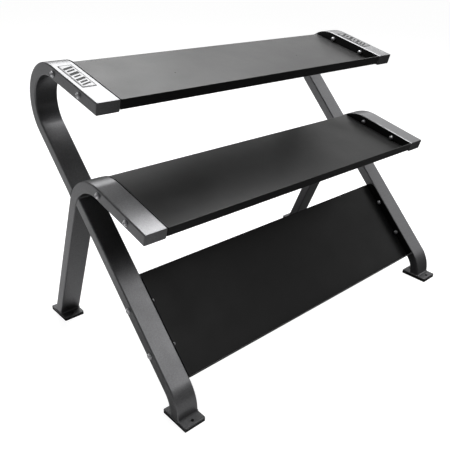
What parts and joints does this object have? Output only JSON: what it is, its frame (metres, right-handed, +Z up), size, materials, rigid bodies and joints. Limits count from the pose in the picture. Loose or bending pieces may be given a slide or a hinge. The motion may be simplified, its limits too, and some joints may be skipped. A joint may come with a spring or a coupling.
{
  "type": "three-tier dumbbell rack",
  "caption": "Free-standing storage rack: bent rectangular-tube side frames on footed legs carry folded sheet-steel trays, the lower one steeply sloped.",
  "frame": {"origin": "on the floor under the middle of the rack", "axes": "+X along the trays to the right as seen from the front, +Y from the front of the rack to its rear, +Z up"},
  "size_m": [1.3864, 0.82, 0.9491],
  "materials": {
    "tube_paint": "satin metallic gunmetal",
    "tray_coat": "satin black powder coat",
    "foot_plate_paint": "satin dark grey",
    "pad_rubber": "matte",
    "zinc": "bright zinc plate",
    "label_foil": "satin foil, blank"
  },
  "bodies": {
    "root": {"upper_tube_left": "tube_paint", "middle_tube_left": "tube_paint", "front_leg_left": "tube_paint", "upper_tube_right": "tube_paint", "middle_tube_right": "tube_paint", "front_leg_right": "tube_paint", "arm_cap_upper_left": "tube_paint", "arm_cap_upper_right": "tube_paint", "arm_cap_middle_left": "tube_paint", "arm_cap_middle_right": "tube_paint", "foot_plate_front_left": "foot_plate_paint", "foot_pad_front_left": "pad_rubber", "foot_plate_front_right": "foot_plate_paint", "foot_pad_front_right": "pad_rubber", "foot_plate_rear_left": "foot_plate_paint", "foot_pad_rear_left": "pad_rubber", "foot_plate_rear_right": "foot_plate_paint", "foot_pad_rear_right": "pad_rubber", "tray_upper": "tray_coat", "tray_middle": "tray_coat", "tray_lower": "tray_coat", "bolt_upper_left_1": "zinc", "bolt_upper_left_2": "zinc", "bolt_upper_right_1": "zinc", "bolt_upper_right_2": "zinc", "bolt_middle_left_1": "zinc", "bolt_middle_left_2": "zinc", "bolt_middle_right_1": "zinc", "bolt_middle_right_2": "zinc", "bolt_lower_left_1": "zinc", "bolt_lower_left_2": "zinc", "bolt_lower_right_1": "zinc", "bolt_lower_right_2": "zinc", "washer_upper_left_1": "zinc", "washer_upper_left_2": "zinc", "washer_upper_right_1": "zinc", "washer_upper_right_2": "zinc", "washer_middle_left_1": "zinc", "washer_middle_left_2": "zinc", "washer_middle_right_1": "zinc", "washer_middle_right_2": "zinc", "washer_lower_left_1": "zinc", "washer_lower_left_2": "zinc", "washer_lower_right_1": "zinc", "washer_lower_right_2": "zinc", "nut_upper_left_1": "zinc", "nut_upper_left_2": "zinc", "nut_upper_right_1": "zinc", "nut_upper_right_2": "zinc", "nut_middle_left_1": "zinc", "nut_middle_left_2": "zinc", "nut_middle_right_1": "zinc", "nut_middle_right_2": "zinc", "nut_lower_left_1": "zinc", "nut_lower_left_2": "zinc", "nut_lower_right_1": "zinc", "nut_lower_right_2": "zinc", "label_plate_left": "label_foil", "label_plate_right": "label_foil"}
  },
  "joints": []
}
